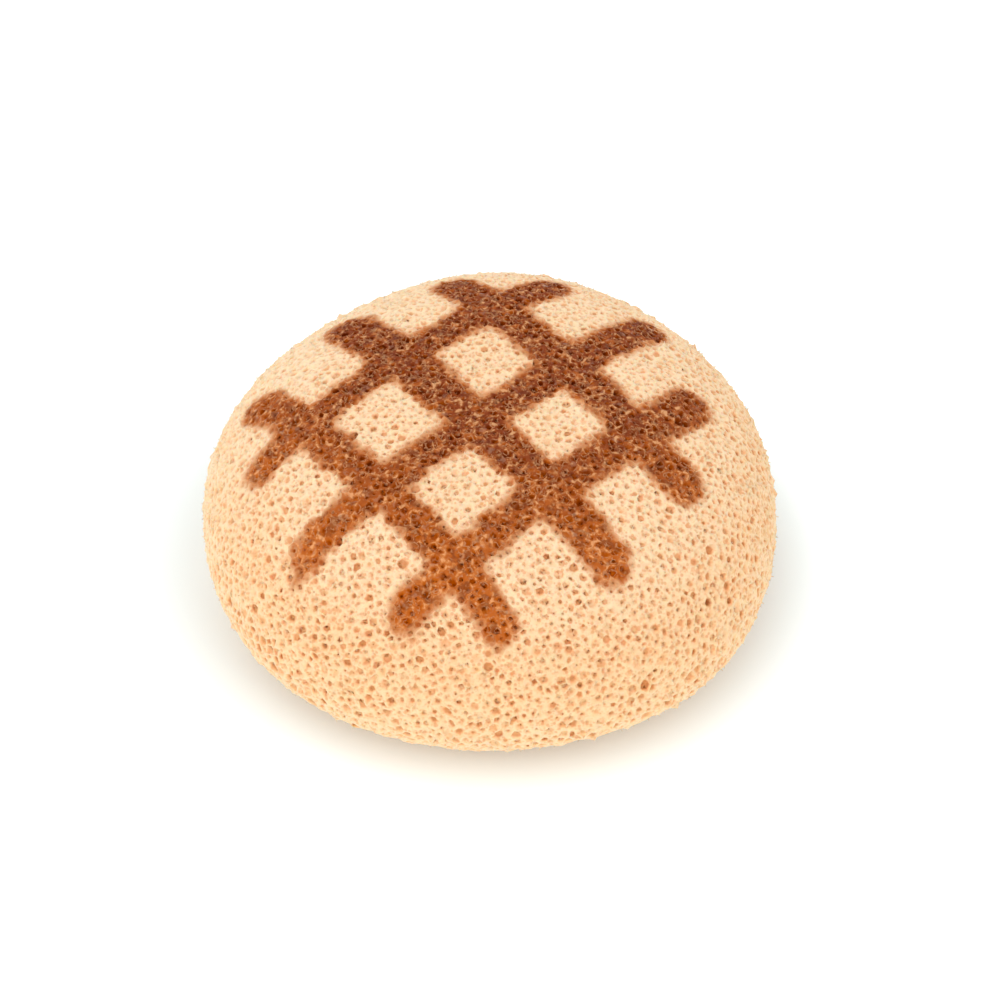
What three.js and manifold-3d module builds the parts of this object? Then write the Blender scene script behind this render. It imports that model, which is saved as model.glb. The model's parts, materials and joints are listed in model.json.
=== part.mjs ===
// A kitchen sponge moulded in the form of a pineapple bun: one piece of soft open-cell foam,
// a low round loaf with a domed crown, a fuller belly and a small flat foot that it rests on.
// Millimetres, +Z up. The origin lies under the middle of the bun, on the surface that it stands on.
import * as THREE from "three";
import { mergeVertices } from "three/addons/utils/BufferGeometryUtils.js";
import Module from "manifold-3d";

// Driving dimensions
const DIAMETER = 105; // mean width at the widest level
const CROWN_HEIGHT = 28.6; // from the widest level up to the top
const BELLY_DEPTH = 26; // from the widest level down to where the belly would close
const FOOT_DEPTH = 18.4; // from the widest level down to the flat foot
const CROWN_SHOULDER = 3; // exponents of the crown's outline: 2 and 2 would be an ellipse,
const CROWN_TOP = 2; //     and more makes a squarer shoulder or a flatter top
const BELLY_ROUNDNESS = 2;

// The plan is a little uneven: each wave is [waves round the bun, size as a share of the radius, turn]
const PLAN_WAVES = [
  [2, 0.005, 1.95],
  [3, 0.017, 4.01],
  [5, 0.008, 1.58],
];

// Open cells of the foam: pits that share their rims, with the rims lying on the bun's outline
const CELL_ROWS = 13; // cells along each of the thirty edges that the even spread starts from
const CELL_STRAY = 0.24; // how far a cell's middle strays, as a share of the distance between cells
const PIT_DEPTH_LEAST = 1.1;
const PIT_DEPTH_MOST = 2.1;
const CLEAR_OF_FOOT = 3; // height above the foot over which the pits come to their full depth
const SEED = 11;

// Colours: the foam, and what its pits and the lattice printed on the crown multiply it by
const FOAM_COLOUR = new THREE.Color("#f8d4a4");
const BARE_FOAM = new THREE.Color(1, 1, 1);
const PIT_TINT = new THREE.Color(0.75, 0.5, 0.38);
const PRINT_TINT = new THREE.Color(0.36, 0.17, 0.11);
const PIT_FULLNESS = 0.985; // how full the bun is, at most, where a point counts as in a pit

// The printed lattice, three stripes each way: direction in degrees from +X, distance of the stripe's
// middle line from the bun's middle, half its width, and where it starts and ends along its direction
const STRIPES = [
  { turn: 43, offset: 19.1, halfWidth: 3.7, from: -39, to: 33 },
  { turn: 43, offset: -1.4, halfWidth: 3.7, from: -43.5, to: 39 },
  { turn: 43, offset: -20.7, halfWidth: 3.7, from: -40, to: 30.5 },
  { turn: -47.5, offset: -27.5, halfWidth: 3.2, from: -33.5, to: 34.5 },
  { turn: -49, offset: -6.4, halfWidth: 4.4, from: -37, to: 40 },
  { turn: -50.5, offset: 15.1, halfWidth: 4.4, from: -34, to: 34.5 },
];

const RADIUS = DIAMETER / 2;

THREE.MathUtils.seededRandom(SEED);
const random = (low, high) => low + (high - low) * THREE.MathUtils.seededRandom();

// ---- The bun's outline ----

function planRadius(angle) {
  const waves = PLAN_WAVES.map(([count, size, turn]) => size * Math.cos(count * angle - turn));
  return RADIUS * (1 + waves.reduce((sum, wave) => sum + wave, 0));
}

// 1 on the bun's surface, less inside it; z is measured from the widest level
function fullness({ x, y, z }) {
  const across = Math.hypot(x, y) / planRadius(Math.atan2(y, x));
  return z > 0
    ? across ** CROWN_SHOULDER + (z / CROWN_HEIGHT) ** CROWN_TOP
    : across ** BELLY_ROUNDNESS + (-z / BELLY_DEPTH) ** BELLY_ROUNDNESS;
}

// The surface point in a given direction, found by halving between the middle and a point well outside
function surfacePoint(direction) {
  const height = direction.z > 0 ? CROWN_HEIGHT : BELLY_DEPTH;
  const ray = direction.clone().multiply(new THREE.Vector3(RADIUS, RADIUS, height));
  let [inside, outside] = [0, 2];
  for (let halving = 0; halving < 30; halving++) {
    const middle = (inside + outside) / 2;
    if (fullness(ray.clone().multiplyScalar(middle)) < 1) inside = middle;
    else outside = middle;
  }
  return ray.multiplyScalar(inside);
}

// ---- The open cells ----

// A ball of cells: each corner of an evenly divided ball is a cell's middle, and each of its faces
// gives a crossing of struts, so every cell is a ring of triangles from its middle to its rim
function cellBall() {
  const ball = new THREE.IcosahedronGeometry(1, CELL_ROWS - 1);
  ball.deleteAttribute("normal");
  ball.deleteAttribute("uv");
  const merged = mergeVertices(ball);
  const corners = merged.getAttribute("position");
  const middles = Array.from({ length: corners.count }, (_, i) =>
    new THREE.Vector3().fromBufferAttribute(corners, i));
  const faces = Array.from({ length: merged.index.count / 3 }, (_, f) =>
    [0, 1, 2].map((k) => merged.index.getX(3 * f + k)));

  const spacing = middles[faces[0][0]].distanceTo(middles[faces[0][1]]);
  for (const middle of middles) {
    const stray = new THREE.Vector3(random(-1, 1), random(-1, 1), random(-1, 1));
    middle.addScaledVector(stray, CELL_STRAY * spacing).normalize();
  }
  const crossings = faces.map((face) =>
    face.reduce((sum, i) => sum.add(middles[i]), new THREE.Vector3()).normalize());

  const sides = faces.flatMap(([a, b, c], f) => [[a, b, f], [b, c, f], [c, a, f]]);
  const faceBeside = new Map(sides.map(([a, b, f]) => [`${a} ${b}`, f]));
  const triangles = sides.flatMap(([a, b, f]) =>
    [a, middles.length + faceBeside.get(`${b} ${a}`), middles.length + f]);
  return { middles, crossings, triangles };
}

// ---- The sponge ----

function foamBody() {
  const { middles, crossings, triangles } = cellBall();
  const rims = crossings.map(surfacePoint);
  const pits = middles.map((middle) => {
    const point = surfacePoint(middle);
    const clear = THREE.MathUtils.smoothstep(point.z + FOOT_DEPTH, 0, CLEAR_OF_FOOT);
    const depth = clear * random(PIT_DEPTH_LEAST, PIT_DEPTH_MOST);
    return point.setLength(point.length() - depth);
  });
  const positions = [...pits, ...rims].flatMap((point) => point.toArray());
  const geometry = new THREE.BufferGeometry();
  geometry.setAttribute("position", new THREE.Float32BufferAttribute(positions, 3));
  geometry.setIndex(triangles);
  return geometry;
}

const wasm = await Module();
wasm.setup();

function toSolid(geometry) {
  const plain = geometry.clone();
  plain.deleteAttribute("normal");
  plain.deleteAttribute("uv");
  const merged = mergeVertices(plain);
  const mesh = new wasm.Mesh({
    numProp: 3,
    vertProperties: new Float32Array(merged.getAttribute("position").array),
    triVerts: new Uint32Array(merged.index.array),
  });
  return new wasm.Manifold(mesh);
}

function toGeometry(solid) {
  const { vertProperties, triVerts } = solid.getMesh();
  const geometry = new THREE.BufferGeometry();
  geometry.setAttribute("position", new THREE.BufferAttribute(vertProperties, 3));
  geometry.setIndex(new THREE.BufferAttribute(triVerts, 1));
  return geometry;
}

// Cuts the belly off level, which leaves the flat foot
function withFlatFoot(geometry) {
  const below = new THREE.BoxGeometry(2 * DIAMETER, 2 * DIAMETER, DIAMETER);
  below.translate(0, 0, -FOOT_DEPTH - DIAMETER / 2);
  return toGeometry(toSolid(geometry).subtract(toSolid(below)));
}

function isInPit(point) {
  return point.z > -FOOT_DEPTH && fullness(point) < PIT_FULLNESS;
}

function isPrinted({ x, y, z }) {
  return z > 0 && STRIPES.some(({ turn, offset, halfWidth, from, to }) => {
    const angle = THREE.MathUtils.degToRad(turn);
    const along = x * Math.cos(angle) + y * Math.sin(angle);
    const aside = y * Math.cos(angle) - x * Math.sin(angle) - offset;
    return Math.abs(aside) < halfWidth && along > from && along < to;
  });
}

function paint(geometry) {
  const points = geometry.getAttribute("position");
  const tints = [];
  for (let i = 0; i < points.count; i++) {
    const point = new THREE.Vector3().fromBufferAttribute(points, i);
    const tint = isPrinted(point) ? PRINT_TINT : isInPit(point) ? PIT_TINT : BARE_FOAM;
    tints.push(...tint.toArray());
  }
  geometry.setAttribute("color", new THREE.Float32BufferAttribute(tints, 3));
}

function makeSponge() {
  const geometry = withFlatFoot(foamBody());
  paint(geometry);
  geometry.computeBoundingBox();
  const middle = geometry.boundingBox.getCenter(new THREE.Vector3());
  geometry.translate(-middle.x, -middle.y, FOOT_DEPTH);
  geometry.computeVertexNormals();
  const material = new THREE.MeshStandardMaterial({
    color: FOAM_COLOUR,
    vertexColors: true,
    roughness: 0.95,
    metalness: 0,
  });
  const mesh = new THREE.Mesh(geometry, material);
  mesh.name = "foam_bun";
  return mesh;
}

const sponge = new THREE.Group();
sponge.add(makeSponge());

export default sponge;
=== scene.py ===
# %% [markdown]
# # A foam sponge in the form of a pineapple bun
# The real thing is one piece of soft kitchen foam, moulded as a round bun and printed with a brown lattice.
# Its whole skin is a net of tiny open cells, so this lesson spends most of its time on that net. Everything
# is in metres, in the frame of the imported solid, with the bun standing on z = 0.

import json
import math

import bpy
import numpy as np
from mathutils import Euler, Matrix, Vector

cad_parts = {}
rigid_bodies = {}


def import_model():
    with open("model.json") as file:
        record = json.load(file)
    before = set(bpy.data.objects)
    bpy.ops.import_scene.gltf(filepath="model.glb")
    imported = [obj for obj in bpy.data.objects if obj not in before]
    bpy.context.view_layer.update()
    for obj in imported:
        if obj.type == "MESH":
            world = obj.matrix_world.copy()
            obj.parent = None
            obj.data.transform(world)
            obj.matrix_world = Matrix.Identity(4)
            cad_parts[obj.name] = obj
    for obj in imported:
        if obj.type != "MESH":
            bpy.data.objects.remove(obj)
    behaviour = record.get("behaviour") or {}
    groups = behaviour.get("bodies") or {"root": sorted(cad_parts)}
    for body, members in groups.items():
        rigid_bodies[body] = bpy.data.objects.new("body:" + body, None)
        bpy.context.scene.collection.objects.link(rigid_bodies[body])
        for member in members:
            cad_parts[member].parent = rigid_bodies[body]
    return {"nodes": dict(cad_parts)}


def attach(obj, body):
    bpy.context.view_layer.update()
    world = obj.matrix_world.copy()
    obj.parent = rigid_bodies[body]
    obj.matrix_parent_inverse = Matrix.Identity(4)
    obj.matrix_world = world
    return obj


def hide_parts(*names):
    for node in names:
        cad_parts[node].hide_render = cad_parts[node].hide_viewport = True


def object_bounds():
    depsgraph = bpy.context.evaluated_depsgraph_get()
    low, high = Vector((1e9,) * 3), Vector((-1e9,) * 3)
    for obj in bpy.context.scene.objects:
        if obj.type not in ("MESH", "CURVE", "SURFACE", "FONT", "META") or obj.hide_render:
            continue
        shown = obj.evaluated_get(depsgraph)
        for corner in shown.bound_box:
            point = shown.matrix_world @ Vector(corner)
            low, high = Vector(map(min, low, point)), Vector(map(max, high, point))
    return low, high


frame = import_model()
solid_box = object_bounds()
print(len(frame["nodes"]), "solid, its box", [tuple(round(c, 4) for c in corner) for corner in solid_box])

# %% [markdown]
# ## The bun's form
# The bun is widest a little under its middle. Above that level the outline is a squarer ellipse, which
# gives the broad crown, and below it a plain one that a flat foot cuts off. Seen from above the bun is
# nearly round, with three slow waves that make it a little uneven, as soft foam is. All sizes are shares of
# the solid's height.

# %% Sizes of the form
MM = 0.001
height = solid_box[1].z
radius = height * 52.5 / 47
crown_height = height * 28.6 / 47
foot_depth = height - crown_height
belly_depth = height * 26 / 47
CROWN_SHOULDER = 3
PLAN_WAVES = [(2, 0.005, 1.95), (3, 0.017, 4.01), (5, 0.008, 1.58)]


def plan_radius(angle):
    return radius * (1 + sum(size * np.cos(count * angle - turn) for count, size, turn in PLAN_WAVES))


def plan_middle():
    """Middle of the uneven plan's box, because the solid's box is centred on the origin."""
    angle = np.linspace(0, 2 * math.pi, 3600)
    x, y = plan_radius(angle) * np.cos(angle), plan_radius(angle) * np.sin(angle)
    return Vector(((x.max() + x.min()) / 2, (y.max() + y.min()) / 2, -foot_depth))


form_shift = -plan_middle()
print("radius", round(radius, 4), "widest level's middle", [round(c, 5) for c in form_shift])

# %% [markdown]
# ## The camera
# The photograph looks down on the bun at about 48 degrees with a longish lens, from seven radii away, and
# it is tipped very slightly. Setting this up first means that every later step can be compared with the
# photograph.

# %% Camera
PHOTO_WIDTH = 1000
RADIUS_IN_PHOTO = 286.6
MIDDLE_IN_PHOTO = (493.4, 509.0)
CAMERA_RADII_AWAY = 7
CAMERA_ELEVATION = math.radians(47.6)
CAMERA_ROLL = math.radians(1.82)
SENSOR_MM = 36

camera_data = bpy.data.cameras.new("photo_camera")
camera_data.sensor_width = SENSOR_MM
camera_data.lens = SENSOR_MM * RADIUS_IN_PHOTO * CAMERA_RADII_AWAY / PHOTO_WIDTH
camera_data.shift_x = (PHOTO_WIDTH / 2 - MIDDLE_IN_PHOTO[0]) / PHOTO_WIDTH
camera_data.shift_y = (MIDDLE_IN_PHOTO[1] - PHOTO_WIDTH / 2) / PHOTO_WIDTH
camera = bpy.data.objects.new("photo_camera", camera_data)
bpy.context.collection.objects.link(camera)
towards_camera = Vector((0, -math.cos(CAMERA_ELEVATION), math.sin(CAMERA_ELEVATION)))
camera.location = form_shift + towards_camera * radius * CAMERA_RADII_AWAY
tilt = Euler((math.pi / 2 - CAMERA_ELEVATION, 0, 0)).to_matrix()
camera.rotation_euler = (tilt @ Euler((0, 0, CAMERA_ROLL)).to_matrix()).to_euler()
bpy.context.scene.camera = camera
print("lens", round(camera_data.lens, 1), "mm, camera at", [round(c, 3) for c in camera.location])

# %% [markdown]
# ## Helpers for materials
# A material is a net of small nodes. These few functions add one node each and plug its inputs, so that the
# materials further down read almost like sums.

# %% Node helpers


def add_node(tree, kind, **settings):
    made = tree.nodes.new(kind)
    for name, value in settings.items():
        setattr(made, name, value)
    return made


def math_node(tree, operation, *values, clamp=False):
    """A Math node. Each value is a number or another node's output."""
    made = add_node(tree, "ShaderNodeMath", operation=operation, use_clamp=clamp)
    for socket, value in zip(made.inputs, values):
        if isinstance(value, (int, float)):
            socket.default_value = value
        else:
            tree.links.new(value, socket)
    return made.outputs[0]


def mix_colours(tree, share, first, second, blend="MIX"):
    made = add_node(tree, "ShaderNodeMix", data_type="RGBA", blend_type=blend)
    for socket, value in zip((made.inputs[0], made.inputs[6], made.inputs[7]), (share, first, second)):
        if isinstance(value, (int, float, tuple)):
            socket.default_value = value
        else:
            tree.links.new(value, socket)
    return made.outputs[2]


def linear(hex_colour):
    """The linear colour that Blender wants, from a screen colour such as f8d4a4."""
    parts = [int(hex_colour[i:i + 2], 16) / 255 for i in (0, 2, 4)]
    straight = [part / 12.92 if part <= 0.04045 else ((part + 0.055) / 1.055) ** 2.4 for part in parts]
    return (*straight, 1)


def vector_node(tree, operation, *values):
    made = add_node(tree, "ShaderNodeVectorMath", operation=operation)
    sockets = [made.inputs[0], made.inputs["Scale"] if operation == "SCALE" else made.inputs[1]]
    for socket, value in zip(sockets, values):
        if isinstance(value, (int, float, tuple)):
            socket.default_value = value
        else:
            tree.links.new(value, socket)
    return made.outputs[0]


def ramp_between(tree, value, low, high):
    """0 at low, 1 at high, and smooth between."""
    made = add_node(tree, "ShaderNodeMapRange", interpolation_type="SMOOTHSTEP")
    tree.links.new(value, made.inputs["Value"])
    made.inputs["From Min"].default_value = low
    made.inputs["From Max"].default_value = high
    return made.outputs[0]


# %% [markdown]
# ## Studio
# The photograph is a product shot on a white card: light comes from everywhere, and a short way from the bun
# the card is so bright that it burns out, so that the only shadow is a soft one close round the foam. A white
# sky gives that even light, the card glows beyond the shadow, and one wide lamp gives the little direction
# that there is. The card's glow is painted light: it is faint in an oval close round the bun and full further
# out, so it also paints the outer edge of the shadow.

# %% Floor
FLOOR_SIZE = 6
CARD_COLOUR = (0.87, 0.94, 0.95, 1)
# Painted light: the card's glow is weak near the bun and strong beyond it, which paints the shadow's outer
# edge.
GLOW_NEAR, GLOW_FAR = 0.01, 0.38
GLOW_FROM, GLOW_FULL = 0.047, 0.068
GLOW_OVAL = (0.87, 1.07, 1)
GLOW_MIDDLE = (-0.0025, 0.0065, 0)
GLOW_COLOUR = (0.88, 1, 1, 1)


def select_only(thing):
    for other in bpy.context.view_layer.objects:
        other.select_set(other == thing)
    bpy.context.view_layer.objects.active = thing


bpy.ops.object.select_all(action="DESELECT")
bpy.ops.mesh.primitive_plane_add(size=FLOOR_SIZE)
floor = bpy.context.object
floor.name = "floor"
floor_paint = bpy.data.materials.new("white_card")
floor_paint.use_nodes = True
card = floor_paint.node_tree.nodes["Principled BSDF"]
card.inputs["Base Color"].default_value = CARD_COLOUR
card.inputs["Roughness"].default_value = 0.9
card.inputs["Emission Color"].default_value = GLOW_COLOUR
card_tree = floor_paint.node_tree
spot = add_node(card_tree, "ShaderNodeTexCoord").outputs["Object"]
distance = add_node(card_tree, "ShaderNodeVectorMath", operation="LENGTH")
from_middle = vector_node(card_tree, "SUBTRACT", spot, GLOW_MIDDLE)
card_tree.links.new(vector_node(card_tree, "MULTIPLY", from_middle, GLOW_OVAL), distance.inputs[0])
# Painted light: the glow rises from faint to full across the outer edge of the shadow.
beyond_shadow = ramp_between(card_tree, distance.outputs["Value"], GLOW_FROM, GLOW_FULL)
glow = math_node(card_tree, "MULTIPLY", beyond_shadow, GLOW_FAR - GLOW_NEAR)
card_tree.links.new(math_node(card_tree, "ADD", glow, GLOW_NEAR), card.inputs["Emission Strength"])
floor.data.materials.append(floor_paint)
print("floor", FLOOR_SIZE, "m wide, bright beyond", GLOW_FULL, "m")

# %% Sky and lamp
SKY_STRENGTH = 0.9
LAMP_PLACE = Vector((-0.2, -0.38, 0.75))
LAMP_SIZE = 0.8
LAMP_WATTS = 2.2

sky = bpy.data.worlds.new("white_room")
sky.use_nodes = True
sky.node_tree.nodes["Background"].inputs["Color"].default_value = (1, 1, 1, 1)
sky.node_tree.nodes["Background"].inputs["Strength"].default_value = SKY_STRENGTH
bpy.context.scene.world = sky
bpy.context.scene.view_settings.view_transform = "Standard"

lamp_data = bpy.data.lights.new("large_lamp", "AREA")
lamp_data.size = LAMP_SIZE
lamp_data.energy = LAMP_WATTS
lamp = bpy.data.objects.new("large_lamp", lamp_data)
bpy.context.collection.objects.link(lamp)
lamp.location = LAMP_PLACE
lamp.rotation_euler = (-LAMP_PLACE).to_track_quat("-Z", "Y").to_euler()
print("lamp", LAMP_SIZE, "m wide,", round(LAMP_PLACE.length, 2), "m away")

# %% [markdown]
# ## Where the cells lie
# In real foam each bubble pushes its neighbours away until they all have about the same room, so cells are
# evenly spread but in no rows. To spread points like that over the bun, its outline is first walked from
# the top to the middle of the foot, adding up how many cells each narrow ring has room for. On the flanks
# the cells are drawn taller, as they are where foam rises in a mould.

# %% Walk the outline
PITCH = 1.78 * MM
FLANK_STRETCH = 0.65
STRETCH_FROM, STRETCH_FULL = 10 * MM, -4 * MM
STEPS = 4000


def outline():
    """Radius and height of points along the outline. The height is measured from the widest level."""
    turn = math.pi / 2 * np.linspace(0.002, 1, STEPS) ** 1.5
    crown = radius * np.sin(turn) ** (2 / CROWN_SHOULDER), crown_height * np.cos(turn)
    turn = np.linspace(0, math.asin(foot_depth / belly_depth), STEPS)[1:]
    belly = radius * np.cos(turn), -belly_depth * np.sin(turn)
    inwards = np.linspace(belly[0][-1], 0.005 * radius, STEPS)[1:]
    foot = inwards, np.full(len(inwards), -foot_depth)
    return np.concatenate([crown[0], belly[0], foot[0]]), np.concatenate([crown[1], belly[1], foot[1]])


ring_radius, level = outline()
step = np.hypot(np.diff(ring_radius, prepend=0), np.diff(level, prepend=level[0]))
flank = np.clip((STRETCH_FROM - level) / (STRETCH_FROM - STRETCH_FULL), 0, 1) * (level > -foot_depth)
stretch = 1 + FLANK_STRETCH * flank
cells_so_far = np.cumsum(2 * math.pi * ring_radius * step / stretch) / (PITCH**2 * math.sqrt(3) / 2)
unrolled = np.cumsum(step / stretch / ring_radius)
unrolled -= unrolled[-1] / 2
CELLS = int(cells_so_far[-1])
print("outline", round(step.sum() / MM, 1), "mm long, room for", CELLS, "cells")

# %% [markdown]
# ## Net of cells
# Each point turns a golden angle on from the one before it, like the seeds of a sunflower, and a small
# random push takes the pattern away. The net is tied on a ball, because the convex hull operator joins
# neighbours on a ball without a flaw. What is wanted is the opposite net, with a cell round each point and
# three struts to a crossing, as in soap foam: the Dual Mesh node swaps the two.

# %% Strew the points and tie the net
GOLDEN_ANGLE = math.pi * (3 - math.sqrt(5))
CELL_PUSH = 0.19
chance = np.random.default_rng(7)


def strewn_points():
    number = np.arange(CELLS)
    along = np.interp(number + 0.5, cells_so_far, unrolled)
    room = PITCH / np.interp(along, unrolled, ring_radius)
    turn = GOLDEN_ANGLE * number + chance.normal(0, CELL_PUSH, CELLS) * room
    along = along + chance.normal(0, CELL_PUSH, CELLS) * room
    return np.stack([np.cos(turn) / np.cosh(along), np.sin(turn) / np.cosh(along), -np.tanh(along)], axis=1)


def dual_group():
    group = bpy.data.node_groups.new("swap_cells_and_crossings", "GeometryNodeTree")
    group.interface.new_socket("Geometry", in_out="INPUT", socket_type="NodeSocketGeometry")
    group.interface.new_socket("Geometry", in_out="OUTPUT", socket_type="NodeSocketGeometry")
    entry, swap, leave = (group.nodes.new(kind) for kind in
                          ("NodeGroupInput", "GeometryNodeDualMesh", "NodeGroupOutput"))
    group.links.new(entry.outputs[0], swap.inputs[0])
    group.links.new(swap.outputs[0], leave.inputs[0])
    return group


mesh = bpy.data.meshes.new("foam_bun_cells")
mesh.from_pydata(strewn_points().tolist(), [], [])
foam = bpy.data.objects.new("foam_bun_cells", mesh)
bpy.context.collection.objects.link(foam)
select_only(foam)
bpy.ops.object.mode_set(mode="EDIT")
bpy.ops.mesh.select_all(action="SELECT")
bpy.ops.mesh.convex_hull(join_triangles=False)
bpy.ops.object.mode_set(mode="OBJECT")
foam.modifiers.new("swap", "NODES").node_group = dual_group()
bpy.ops.object.modifier_apply(modifier="swap")
mesh = foam.data
print(len(mesh.polygons), "cells with", len(mesh.vertices), "crossings")

# %% [markdown]
# ## From ball to bun
# Each crossing of the net now goes to its own place on the bun, and a small random push makes the net as
# uneven as torn bubbles are. Most crossings are sunk a little and a few stand out, which roughens the rim
# against the light. The flat foot is left even. Low on the front right flank the foam is slightly dented.

# %% Press the net onto the form
CROSSING_PUSH = 0.08 * MM
STRAY_OUT = 0.12 * MM
SINK = 0.4 * MM
DENT = 1.95 * MM
DENT_TURN, DENT_WIDTH = math.radians(-58), math.radians(25)
DENT_FULL_BELOW = 8 * MM
RISE_OF_FUZZ = 1 * MM


def corners_of(thing):
    corners = np.empty(len(thing.vertices) * 3, np.float32)
    thing.vertices.foreach_get("co", corners)
    return corners.reshape(-1, 3).astype(float)


def set_corners(thing, corners):
    thing.vertices.foreach_set("co", corners.ravel())
    thing.update()


def on_bun(ball):
    turn = np.arctan2(ball[:, 1], ball[:, 0])
    along = -np.arcsinh(ball[:, 2] / np.hypot(ball[:, 0], ball[:, 1]))
    out = np.interp(along, unrolled, ring_radius) * plan_radius(turn) / radius
    up = np.interp(along, unrolled, level)
    low = np.clip(-up / DENT_FULL_BELOW, 0, 1)
    out -= DENT * low * np.exp(-(((turn - DENT_TURN) / DENT_WIDTH) ** 2))
    return np.stack([out * np.cos(turn), out * np.sin(turn), up], axis=1)


placed = on_bun(corners_of(mesh))
set_corners(mesh, placed + np.array(form_shift))
outward = np.array([normal.vector for normal in mesh.vertex_normals])
uneven = chance.normal(0, CROSSING_PUSH, placed.shape)
uneven += outward * (chance.exponential(STRAY_OUT, (len(placed), 1)) - SINK)
uneven *= np.clip((placed[:, 2:] + foot_depth) / RISE_OF_FUZZ, 0, 1)
set_corners(mesh, placed + uneven + np.array(form_shift))
print("net reaches", corners_of(mesh).min(0).round(4), corners_of(mesh).max(0).round(4))

# %% [markdown]
# ## Open the cells
# The cells could be cut with a Boolean, one ball for each, but thousands of cuts are slow and leave poor
# faces. So each cell is inset again and again: every inset adds a ring of faces, and the ring is then drawn
# together, pressed in and slid a little aside. The operator alone would move every edge by the same
# distance and fold the narrow cells, so it adds the ring at no width, and the code places the ring by
# shares of the cell's own width.

# %% Helpers that pick faces and place a ring


def pick_faces(numbers):
    """Selects these faces and no others."""
    bpy.ops.object.mode_set(mode="EDIT")
    bpy.ops.mesh.select_mode(type="FACE")
    bpy.ops.mesh.select_all(action="DESELECT")
    bpy.ops.object.mode_set(mode="OBJECT")
    flags = np.zeros(len(mesh.polygons), bool)
    flags[numbers] = True
    mesh.polygons.foreach_set("select", flags)


def deepen(corner, depth):
    """Adds to the depth, in millimetres, that each of these corners has below the struts."""
    hollow = mesh.attributes["hollow"].data
    values = np.empty(len(hollow), np.float32)
    hollow.foreach_get("value", values)
    values[corner] += depth / MM
    hollow.foreach_set("value", values)


def add_ring(share, press, rounded=0, slide=0, uneven=0.3):
    """Insets the picked faces, then draws each to a share of its width and presses it in by about `press`."""
    bpy.ops.object.mode_set(mode="EDIT")
    bpy.ops.mesh.inset(use_individual=True, thickness=0)
    bpy.ops.object.mode_set(mode="OBJECT")
    inner = [face for face in mesh.polygons if face.select]
    count = np.array([len(face.vertices) for face in inner])
    owner = np.repeat(np.arange(len(inner)), count)
    corner = np.concatenate([face.vertices for face in inner])
    first = np.concatenate([[0], np.cumsum(count)[:-1]])
    normal = np.array([face.normal for face in inner])
    corners = corners_of(mesh)
    middle = np.add.reduceat(corners[corner], first) / count[:, None]
    arm = corners[corner] - middle[owner]
    arm_length = np.linalg.norm(arm, axis=1)
    mean_length = np.add.reduceat(arm_length, first) / count
    arm *= (1 + rounded * (mean_length[owner] / arm_length - 1))[:, None]
    width = 1 - (1 - share) * (1 + uneven * chance.uniform(-1, 1, len(inner)))
    depth = press * (1 + uneven * chance.uniform(-1, 1, len(inner)))
    aside = chance.normal(0, slide, (len(inner), 3)) * mean_length[:, None] * (1 - share)
    aside -= normal * np.sum(aside * normal, axis=1, keepdims=True)
    target = middle + aside - normal * depth[:, None]
    corners[corner] = target[owner] + arm * width[owner, None]
    set_corners(mesh, corners)
    deepen(corner, depth[owner])
    return np.array([face.index for face in inner])


# %% [markdown]
# No two bubbles of a foam are alike, so each cell gets a chance number, and it also keeps the place of its
# own middle. The faces that grow out of it inherit both, and the material reads them later: the number to
# shade the cells a little differently, and the middle because dye fills a cell whole. A third mark is the
# depth below the struts. It starts at zero and grows with every ring, and the material paints shade by it,
# since light that goes deep into foam comes out browner.

# %% Mark the cells
shade = mesh.attributes.new("cell_shade", "FLOAT", "FACE")
shade.data.foreach_set("value", chance.random(len(mesh.polygons)).astype(np.float32))
middles = mesh.attributes.new("cell_middle", "FLOAT_VECTOR", "FACE")
middles.data.foreach_set("vector", np.array([face.center for face in mesh.polygons], np.float32).ravel())
mesh.attributes.new("hollow", "FLOAT", "POINT")
cells = len(mesh.polygons)
print(cells, "cells marked")

# %% [markdown]
# Where the mould's skin was torn off, broken strut ends stand up as a fine fuzz. A vertex bevel cuts the
# tip off some crossings, which leaves a tiny triangle each, and a ring that is pressed outwards draws the
# triangle to a point.

# %% Torn strut ends
TORN_SHARE = 0.3
TORN_FOOT = 0.11 * MM
TORN_LENGTH = 0.3 * MM
TIP_WIDTH = 0.15  # share of the foot
TIP_LEAN = 1.3

crossing_height = corners_of(mesh)[:, 2]
torn_ends = (chance.random(len(mesh.vertices)) < TORN_SHARE) & (crossing_height > MM)
pick_faces([])
bpy.ops.object.mode_set(mode="EDIT")
bpy.ops.mesh.select_mode(type="VERT")
bpy.ops.object.mode_set(mode="OBJECT")
mesh.vertices.foreach_set("select", torn_ends)
bpy.ops.object.mode_set(mode="EDIT")
bpy.ops.mesh.bevel(offset=TORN_FOOT, affect="VERTICES")
bpy.ops.object.mode_set(mode="OBJECT")
tips = np.array([face.index for face in mesh.polygons
                 if len(face.vertices) == 3 and face.area < TORN_FOOT**2 * 2])
print(len(tips), "torn strut ends on", torn_ends.sum(), "crossings")
pick_faces(tips)
add_ring(TIP_WIDTH, -TORN_LENGTH, slide=TIP_LEAN, uneven=0.7)

# %% [markdown]
# Now the cells themselves. The first ring makes the gentle slope down from the struts, and the second a
# rounder and deeper bowl. Both are uneven, so that some bubbles are cut open widely and others only at
# their very top.

# %% Slopes and bowls
SMALLEST_CELL = (PITCH / 3) ** 2
SLOPE_DEPTH = 0.14 * MM
BOWL_DEPTH = 0.2 * MM

pick_faces([face.index for face in mesh.polygons if face.area > SMALLEST_CELL])
add_ring(0.5, SLOPE_DEPTH, rounded=0.5, slide=0.15, uneven=0.5)
bowls = add_ring(0.7, BOWL_DEPTH, rounded=0.7, slide=0.3, uneven=0.7)
print(cells, "cells,", len(bowls), "bowls")

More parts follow.
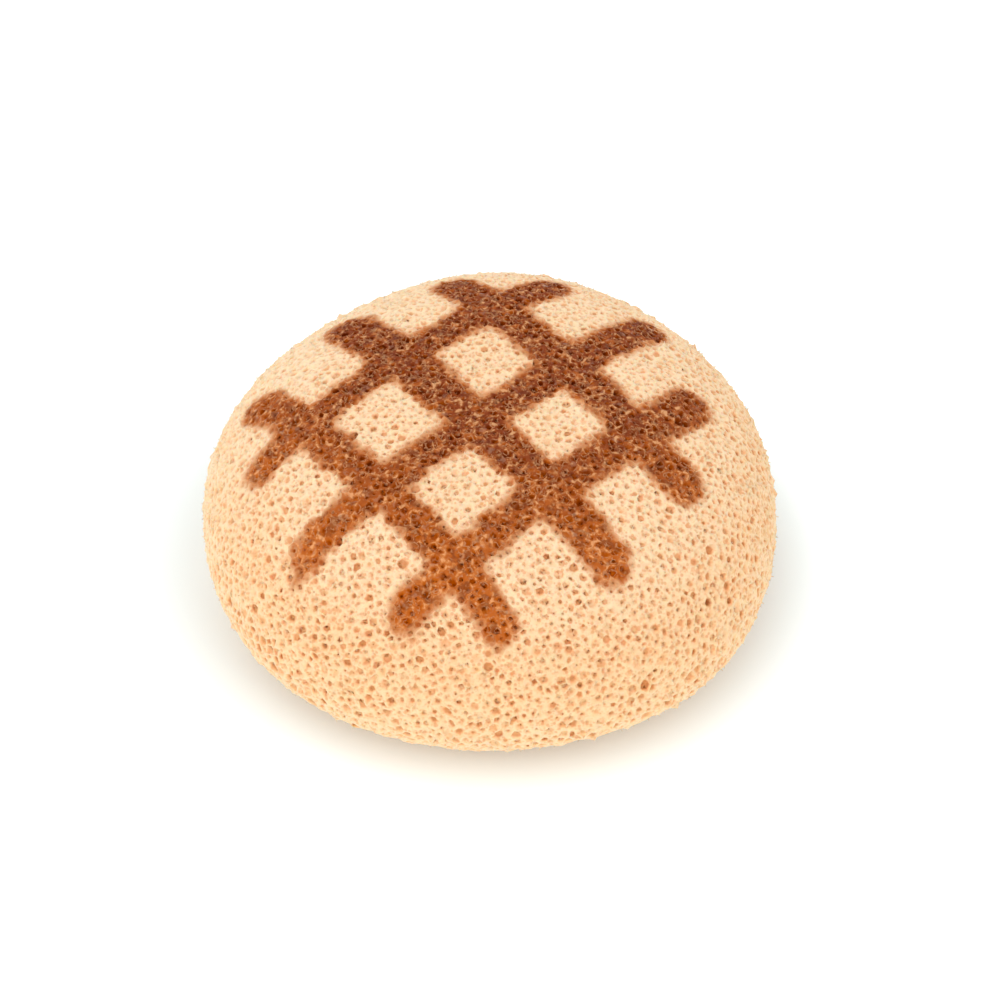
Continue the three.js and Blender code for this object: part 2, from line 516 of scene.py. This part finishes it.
# %% [markdown]
# One cell on the right of the crown is torn open much further than the rest, and shows as a dark dot. Its
# floor is drawn down into a short shaft, which is a thing that inset and a press do well, and the shaft's
# colour is painted shade.

# %% The torn cell
TORN_CELL = Vector((36.05 * MM, -31 * MM)) + form_shift.xy
TORN_DEPTH = 1.2 * MM


def from_torn_place(number):
    """How far a face lies from the torn place, seen from above. The belly's faces are ruled out."""
    face = mesh.polygons[number]
    return (face.center.xy - TORN_CELL).length if face.normal.z > 0 else math.inf


torn = min(bowls, key=from_torn_place)
print("torn cell at", [round(c, 4) for c in mesh.polygons[torn].center])
pick_faces([torn])
add_ring(0.85, 0, uneven=0)
add_ring(0.8, TORN_DEPTH, uneven=0)

# %% [markdown]
# The floor of each bowl is poked into small triangles, and more than one in four of them becomes a hole,
# where the film to a bubble below has burst. Smooth shading then rounds the struts.

# %% Holes
HOLE_SHARE = 0.28
HOLE_DEPTH = 0.3 * MM

pick_faces([number for number in bowls if number != torn])
bpy.ops.object.mode_set(mode="EDIT")
bpy.ops.mesh.poke()
bpy.ops.object.mode_set(mode="OBJECT")
floors = np.array([face.index for face in mesh.polygons if face.select])
holes = floors[chance.random(len(floors)) < HOLE_SHARE]
pick_faces(holes)
add_ring(0.6, HOLE_DEPTH, rounded=0.3, uneven=0.6)
mesh.polygons.foreach_set("use_smooth", [True] * len(mesh.polygons))
triangles = sum(len(face.vertices) - 2 for face in mesh.polygons)
print(len(bowls), "bowls,", len(holes), "holes,", triangles, "triangles")

# %% [markdown]
# ## The foam's material
# The lattice is a dye that sank into the foam: it lies flush and leaves the cells open. So it is a matter
# of colour alone, worked out from the place on the bun. A stripe is a sum of nodes that says how far inside
# it a point lies.

# %% One stripe


def stripe(tree, x, y, turn, offset, start, end, start_width, end_width, bow):
    """How many millimetres inside a stripe with rounded ends a point lies. It is below 0 outside."""
    cosine, sine = math.cos(math.radians(turn)), math.sin(math.radians(turn))
    along = math_node(tree, "ADD", math_node(tree, "MULTIPLY", x, cosine),
                      math_node(tree, "MULTIPLY", y, sine))
    across = math_node(tree, "SUBTRACT", math_node(tree, "MULTIPLY", y, cosine),
                       math_node(tree, "ADD", math_node(tree, "MULTIPLY", x, sine), offset))
    share = math_node(tree, "DIVIDE", math_node(tree, "SUBTRACT", along, start), end - start, clamp=True)
    if bow:
        bulge = math_node(tree, "MULTIPLY", share, math_node(tree, "SUBTRACT", 1, share))
        across = math_node(tree, "SUBTRACT", across, math_node(tree, "MULTIPLY", bulge, 4 * bow))
    beyond = math_node(tree, "MAXIMUM", math_node(tree, "SUBTRACT", start, along),
                       math_node(tree, "SUBTRACT", along, end))
    beyond = math_node(tree, "MAXIMUM", beyond, 0)
    away = math_node(tree, "SQRT", math_node(tree, "ADD", math_node(tree, "MULTIPLY", across, across),
                                             math_node(tree, "MULTIPLY", beyond, beyond)))
    half_width = math_node(tree, "ADD", math_node(tree, "MULTIPLY", share, end_width - start_width),
                           start_width)
    return math_node(tree, "SUBTRACT", half_width, away)


# %% [markdown]
# The stripes aren't ruled lines. Each has its own place, length, width at either end and bow, measured on
# the bun from above, and one has a small drip at its end. Three run each way, and where two meet the dye
# fills the corner.

# %% The lattice
STRIPES = [
    # turn in degrees, distance from the middle, start, end, half width at start and end, bow
    (43, 19.2, -36.7, 30.7, 2.9, 3.9, 0),
    (43, -0.5, -41.2, 36.4, 3.0, 4, -1.3),
    (43, -20.1, -37.6, 27.5, 2.8, 4.1, -1),
    (-47.5, -27.4, -31.2, 32, 3.5, 2.7, 0),
    (-49, -6.2, -34, 36.4, 4.8, 3.7, 0),
    (-50.5, 15.1, -31, 31, 4.4, 4, 0.3),
    (43, -2, -46.2, -43, 0.5, 1.3, 0),
]
CORNER_FILL = 2.8


def lattice(tree, x, y):
    """How far inside the lattice a point lies, in millimetres, as x and y are."""
    deepest = None
    for numbers in STRIPES:
        inside = stripe(tree, x, y, *numbers)
        deepest = inside if deepest is None else math_node(tree, "SMOOTH_MAX", deepest, inside, CORNER_FILL)
    return deepest


print(len(STRIPES) - 1, "stripes and a drip")

# %% [markdown]
# A few more helpers. Each names one node or one small sum, and works in millimetres, so that the scale of a
# noise or the width of an edge can be set against the size of a cell.

# %% Helpers for the foam's colour


def colour_ramp(tree, value, stops):
    ramp = add_node(tree, "ShaderNodeValToRGB")
    tree.links.new(value, ramp.inputs[0])
    elements = ramp.color_ramp.elements
    for number, (position, hex_colour) in enumerate(stops):
        stop = elements[0] if number == 0 else elements[-1] if position == 1 else elements.new(position)
        stop.position, stop.color = position, linear(hex_colour)
    return ramp.outputs[0]


def attribute(tree, name, output="Fac"):
    return add_node(tree, "ShaderNodeAttribute", attribute_name=name).outputs[output]


def in_millimetres(tree, vector):
    """Turns a place on the object into millimetres from the middle of the widest level."""
    made = add_node(tree, "ShaderNodeMapping")
    made.inputs["Location"].default_value = [-c / MM for c in form_shift]
    made.inputs["Scale"].default_value = [1 / MM] * 3
    tree.links.new(vector, made.inputs["Vector"])
    return made.outputs[0]


def noise_node(tree, place, scale, detail, output="Fac"):
    made = add_node(tree, "ShaderNodeTexNoise", noise_dimensions="3D")
    tree.links.new(place, made.inputs["Vector"])
    made.inputs["Scale"].default_value = scale
    made.inputs["Detail"].default_value = detail
    return made.outputs[output]


def axes(tree, vector):
    made = add_node(tree, "ShaderNodeSeparateXYZ")
    tree.links.new(vector, made.inputs[0])
    return made.outputs


def gray(tree, value):
    made = add_node(tree, "ShaderNodeCombineColor")
    for socket in made.inputs[:3]:
        tree.links.new(value, socket)
    return made.outputs[0]


def stain(tree, colour, mask, strength, hex_colour, blend="MIX"):
    """Lays another colour over the first where the mask is, at up to this strength."""
    return mix_colours(tree, math_node(tree, "MULTIPLY", mask, strength), colour, linear(hex_colour), blend)


# %% [markdown]
# Dye fills a cell whole, but it also creeps along the struts, so the print's edge is neither smooth nor a
# row of whole cells. The place that the lattice is asked for is a blend of the point itself and the middle
# of its cell, with a slow noise added. A thin halo lies outside the full print, and far from the back of
# the crown, and at the edges, the dye is thin.

# %% Where the dye is
THICK_PLACE = 18  # where the dye is thickest: so many millimetres behind the bun's middle
THIN_FROM, THIN_FULL = 26, 60  # distances from there
CELL_SHARE = 0.25
WANDER = 3
EDGE_CHANCE = 0.7


def dye_masks(tree, place, cell_number):
    """Where the print is full, where its thin halo is, and how thin the dye is."""
    cell_place = in_millimetres(tree, attribute(tree, "cell_middle", "Vector"))
    mostly_point = vector_node(tree, "ADD", vector_node(tree, "SCALE", place, 1 - CELL_SHARE),
                               vector_node(tree, "SCALE", cell_place, CELL_SHARE))
    wander = vector_node(tree, "SUBTRACT", noise_node(tree, place, 0.25, 5, "Color"), (0.5, 0.5, 0.5))
    soaked = axes(tree, vector_node(tree, "ADD", mostly_point, vector_node(tree, "SCALE", wander, WANDER)))
    inside = lattice(tree, soaked["X"], soaked["Y"])
    chance_step = math_node(tree, "MULTIPLY", math_node(tree, "SUBTRACT", cell_number, 0.5), EDGE_CHANCE)
    on_crown = math_node(tree, "GREATER_THAN", soaked["Z"], 0)
    full = ramp_between(tree, math_node(tree, "ADD", inside, chance_step), -0.5, 1)
    halo = ramp_between(tree, inside, -1.4, 0.4)
    from_thick = math_node(tree, "SUBTRACT", soaked["Y"], THICK_PLACE)
    spread = math_node(tree, "SQRT", math_node(tree, "ADD", math_node(tree, "POWER", soaked["X"], 2),
                                               math_node(tree, "POWER", from_thick, 2)))
    thin = math_node(tree, "MAXIMUM", ramp_between(tree, spread, THIN_FROM, THIN_FULL),
                     ramp_between(tree, inside, 1.3, -0.2))
    return math_node(tree, "MULTIPLY", full, on_crown), math_node(tree, "MULTIPLY", halo, on_crown), thin


# %% [markdown]
# The colours run with the depth in a cell, and this darkening is painted shade. Bare foam goes from cream on
# the struts through salmon to brown in the holes, standing for the shade in them and for light that comes
# back from deep in the foam coloured on the way. Pores that are too fine for the mesh are painted as darker
# spots, which is painted shade in them, and a finer noise lays darker salmon flecks. Deep in the torn cell's
# shaft the painted shade turns a more saturated orange-brown. The flanks are a little yellower than the
# crown, and the left and back are paler.

# %% Bare foam
# Painted shade: the bare foam's colour by depth below the struts, cream on top and brown deep in the holes.
BARE_SHADED_BY_DEPTH = [(0, "f9dab2"), (0.2, "f6cca0"), (0.35, "ecb080"), (0.5, "da9764"), (1, "b87242")]
# Painted shade: darker spots for pores too fine for the mesh.
PINHOLE_SHADE_COLOUR, PINHOLE_SHARE, PINHOLES_PER_MM = "e19f6c", 0.6, 1.15
FLECK_COLOUR, FLECK_SHARE, FLECKS_PER_MM = "eaae80", 0.45, 1.9
FLANK_TINT = "fcf2e6"
FLANK_FROM, FLANK_FULL = 24, 12  # millimetres above the widest level
PALE_COLOUR, PALE_SHARE = "fce2c0", 0.25
PALE_SIDE = (-0.8, 0.6, 0)
PALE_FROM, PALE_FULL = 15, 45  # millimetres from the middle towards that side
# Painted shade deep in the torn cell's shaft, a more saturated orange-brown.
TORN_SHAFT_SHADE = "c88040"
HALO_TINT, HALO_SHARE = "d09a68", 0.85


def pale_mask(tree, place):
    made = add_node(tree, "ShaderNodeVectorMath", operation="DOT_PRODUCT")
    tree.links.new(place, made.inputs[0])
    made.inputs[1].default_value = PALE_SIDE
    return ramp_between(tree, made.outputs["Value"], PALE_FROM, PALE_FULL)


def bare_foam(tree, place, deep, mottle, halo):
    pale = pale_mask(tree, place)
    uneven = math_node(tree, "ADD", deep, math_node(tree, "MULTIPLY", mottle, 0.3))
    lightened = math_node(tree, "SUBTRACT", 1, math_node(tree, "MULTIPLY", pale, 0.4))
    # Painted shade: darker with depth, a little less on the paler side.
    colour = colour_ramp(tree, math_node(tree, "MULTIPLY", uneven, lightened), BARE_SHADED_BY_DEPTH)
    # Painted shade in pores too fine for the mesh, as darker spots.
    pore = add_node(tree, "ShaderNodeTexVoronoi")
    tree.links.new(place, pore.inputs["Vector"])
    pore.inputs["Scale"].default_value = PINHOLES_PER_MM
    pinhole_shade = ramp_between(tree, pore.outputs["Distance"], 0.42, 0.24)
    colour = stain(tree, colour, pinhole_shade, PINHOLE_SHARE, PINHOLE_SHADE_COLOUR)
    flecks = ramp_between(tree, noise_node(tree, place, FLECKS_PER_MM, 3), 0.5, 0.68)
    colour = stain(tree, colour, flecks, FLECK_SHARE, FLECK_COLOUR)
    flank_mask = ramp_between(tree, axes(tree, place)["Z"], FLANK_FROM, FLANK_FULL)
    colour = mix_colours(tree, flank_mask, colour, linear(FLANK_TINT), "MULTIPLY")
    colour = stain(tree, colour, pale, PALE_SHARE, PALE_COLOUR)
    # Painted shade deep in the torn cell's shaft.
    torn_shaft_shade = ramp_between(tree, deep, 0.9, 1.2)
    colour = mix_colours(tree, torn_shaft_shade, colour, linear(TORN_SHAFT_SHADE))
    return stain(tree, colour, halo, HALO_SHARE, HALO_TINT, "MULTIPLY")


# %% [markdown]
# Dyed foam is lighter on the struts and dark brown deeper in, which is painted shade by depth, and where the
# dye is thin it is more orange. Patches are rusty or soaked, here and there a film of dye is smoother and a
# pale glint is painted on it, and the struts of the next layer of bubbles show through the open cells as pale
# curls.

# %% Dyed foam
# Painted shade: dyed foam is lighter on the struts and darker with depth; the second ramp does the same for
# thin dye.
DYED_SHADED_BY_DEPTH = [(0, "d49a6a"), (0.03, "ae6a38"), (0.1, "863602"), (0.5, "601c00"), (1, "360b00")]
DYED_THIN_SHADED_BY_DEPTH = [(0, "e69c64"), (0.03, "d07e3e"), (0.1, "be6016"), (0.5, "a44600"), (1, "782c00")]
RUST_COLOUR, RUST_SHARE = "ba5e16", 0.55
SOAKED_COLOUR, SOAKED_SHARE = "5a1c02", 0.5
# Painted glint: a pale mauve laid on patches of smoother dye film.
FILM_GLINT_COLOUR, FILM_GLINT_SHARE = "b28a70", 0.28
LOWER_STRUT_COLOUR, LOWER_STRUT_SHARE, LOWER_CELLS_PER_MM = "c68e66", 0.7, 0.85


# Patches of smoother dye film, away from the deeper parts; they carry a painted glint.
def film_and_glint_mask(tree, place, deep):
    patches = ramp_between(tree, noise_node(tree, place, 0.8, 2), 0.58, 0.7)
    return math_node(tree, "MULTIPLY", patches, ramp_between(tree, deep, 0.4, 0.1))


def lower_strut_mask(tree, place, deep):
    edges = add_node(tree, "ShaderNodeTexVoronoi", feature="DISTANCE_TO_EDGE")
    curl = vector_node(tree, "SCALE", noise_node(tree, place, 0.9, 2, "Color"), 1.2)
    tree.links.new(vector_node(tree, "ADD", place, curl), edges.inputs["Vector"])
    edges.inputs["Scale"].default_value = LOWER_CELLS_PER_MM
    strut = math_node(tree, "MULTIPLY", ramp_between(tree, edges.outputs["Distance"], 0.15, 0.03),
                      ramp_between(tree, deep, 0.02, 0.1))
    patches = ramp_between(tree, noise_node(tree, place, 0.8, 2), 0.62, 0.42)
    return math_node(tree, "MULTIPLY", strut, patches)


def dyed_foam(tree, place, deep, mottle, thin, film_and_glint):
    broken = math_node(tree, "MULTIPLY", ramp_between(tree, noise_node(tree, place, 0.6, 3), 0.42, 0.58), 0.1)
    mottled = math_node(tree, "ADD", deep, math_node(tree, "MULTIPLY", mottle, 0.4))
    uneven = math_node(tree, "ADD", mottled, broken)
    # Painted shade by depth, in thick or thin dye.
    colour = mix_colours(tree, thin, colour_ramp(tree, uneven, DYED_SHADED_BY_DEPTH), colour_ramp(tree, uneven, DYED_THIN_SHADED_BY_DEPTH))
    rusty = ramp_between(tree, noise_node(tree, place, 0.7, 3), 0.5, 0.66)
    colour = stain(tree, colour, rusty, RUST_SHARE, RUST_COLOUR)
    soaked = ramp_between(tree, noise_node(tree, place, 0.5, 3), 0.5, 0.38)
    colour = stain(tree, colour, soaked, SOAKED_SHARE, SOAKED_COLOUR)
    # Painted glint on the film of dye.
    colour = stain(tree, colour, film_and_glint, FILM_GLINT_SHARE, FILM_GLINT_COLOUR)
    lower_struts = lower_strut_mask(tree, place, deep)
    return stain(tree, colour, lower_struts, LOWER_STRUT_SHARE, LOWER_STRUT_COLOUR)


# %% [markdown]
# Foam is dull. Only its outermost struts shine a little, and a film of dye is smoother than the rest. Light
# sinks into bare foam and comes out again nearby, which softens it, and a faint sheen stands for hairs too
# fine to model.

# %% Gloss, sheen and light in the foam
DULL, FILM_GLOSS = 0.8, 0.45
STRUT_SPECULAR, STRUT_SHEEN = 0.3, 0.3
SHEEN_TINT = "fff0dc"
LIGHT_SHARE, LIGHT_DEPTH = 0.45, 1.5 * MM


def finish(tree, shader, deep, full, film_and_glint):
    shallow = ramp_between(tree, deep, 0.2, 0)
    undyed = math_node(tree, "SUBTRACT", 1, full)
    tree.links.new(math_node(tree, "SUBTRACT", DULL, math_node(tree, "MULTIPLY", film_and_glint, FILM_GLOSS)),
                   shader.inputs["Roughness"])
    tree.links.new(math_node(tree, "MULTIPLY", shallow, STRUT_SPECULAR), shader.inputs["Specular IOR Level"])
    tree.links.new(math_node(tree, "MULTIPLY", math_node(tree, "MULTIPLY", undyed, shallow), STRUT_SHEEN),
                   shader.inputs["Sheen Weight"])
    shader.inputs["Sheen Roughness"].default_value = 0.5
    shader.inputs["Sheen Tint"].default_value = linear(SHEEN_TINT)
    tree.links.new(math_node(tree, "MULTIPLY", undyed, LIGHT_SHARE), shader.inputs["Subsurface Weight"])
    shader.inputs["Subsurface Radius"].default_value = (1, 0.45, 0.25)
    shader.inputs["Subsurface Scale"].default_value = LIGHT_DEPTH


# %% [markdown]
# One material joins all this: the depth in the cell, a little uneven from cell to cell, which paints shade
# into the cells, the two kinds of foam, the print that chooses between them, and a patchiness over
# everything.

# %% Foam material
DEEPEST = 1.1
PATCHY_FROM, PATCHY_RANGE = 0.92, 0.16


def foam_material():
    material = bpy.data.materials.new("printed_foam")
    material.use_nodes = True
    tree = material.node_tree
    place = in_millimetres(tree, add_node(tree, "ShaderNodeTexCoord").outputs["Object"])
    cell_number = attribute(tree, "cell_shade")
    # Depth below the struts, uneven from cell to cell; it drives the painted shade in the cells.
    deep = math_node(tree, "MULTIPLY", attribute(tree, "hollow"),
                     math_node(tree, "ADD", math_node(tree, "MULTIPLY", cell_number, 0.8), 0.6))
    deep = math_node(tree, "DIVIDE", deep, DEEPEST)
    mottle = math_node(tree, "SUBTRACT", noise_node(tree, place, 1.3, 4), 0.5)
    full, halo, thin = dye_masks(tree, place, cell_number)
    # Patches of dye film: smoother, and with a painted glint.
    film_and_glint = film_and_glint_mask(tree, place, deep)
    colour = mix_colours(tree, full, bare_foam(tree, place, deep, mottle, halo),
                         dyed_foam(tree, place, deep, mottle, thin, film_and_glint))
    grain = math_node(tree, "MULTIPLY", noise_node(tree, place, 1.1, 3), PATCHY_RANGE)
    patchy = gray(tree, math_node(tree, "ADD", grain, PATCHY_FROM))
    shader = tree.nodes["Principled BSDF"]
    tree.links.new(mix_colours(tree, 1.0, colour, patchy, "MULTIPLY"), shader.inputs["Base Color"])
    finish(tree, shader, deep, full, film_and_glint)
    print("material of", len(tree.nodes), "nodes")
    return material


mesh.materials.clear()
mesh.materials.append(foam_material())
mesh.polygons.foreach_set("material_index", [0] * len(mesh.polygons))
mesh.update()

# %% [markdown]
# ## Join the frame
# The foam rides on the part's one body and stands for the plain solid.

# %% Hand over
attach(foam, "root")
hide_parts("foam_bun")
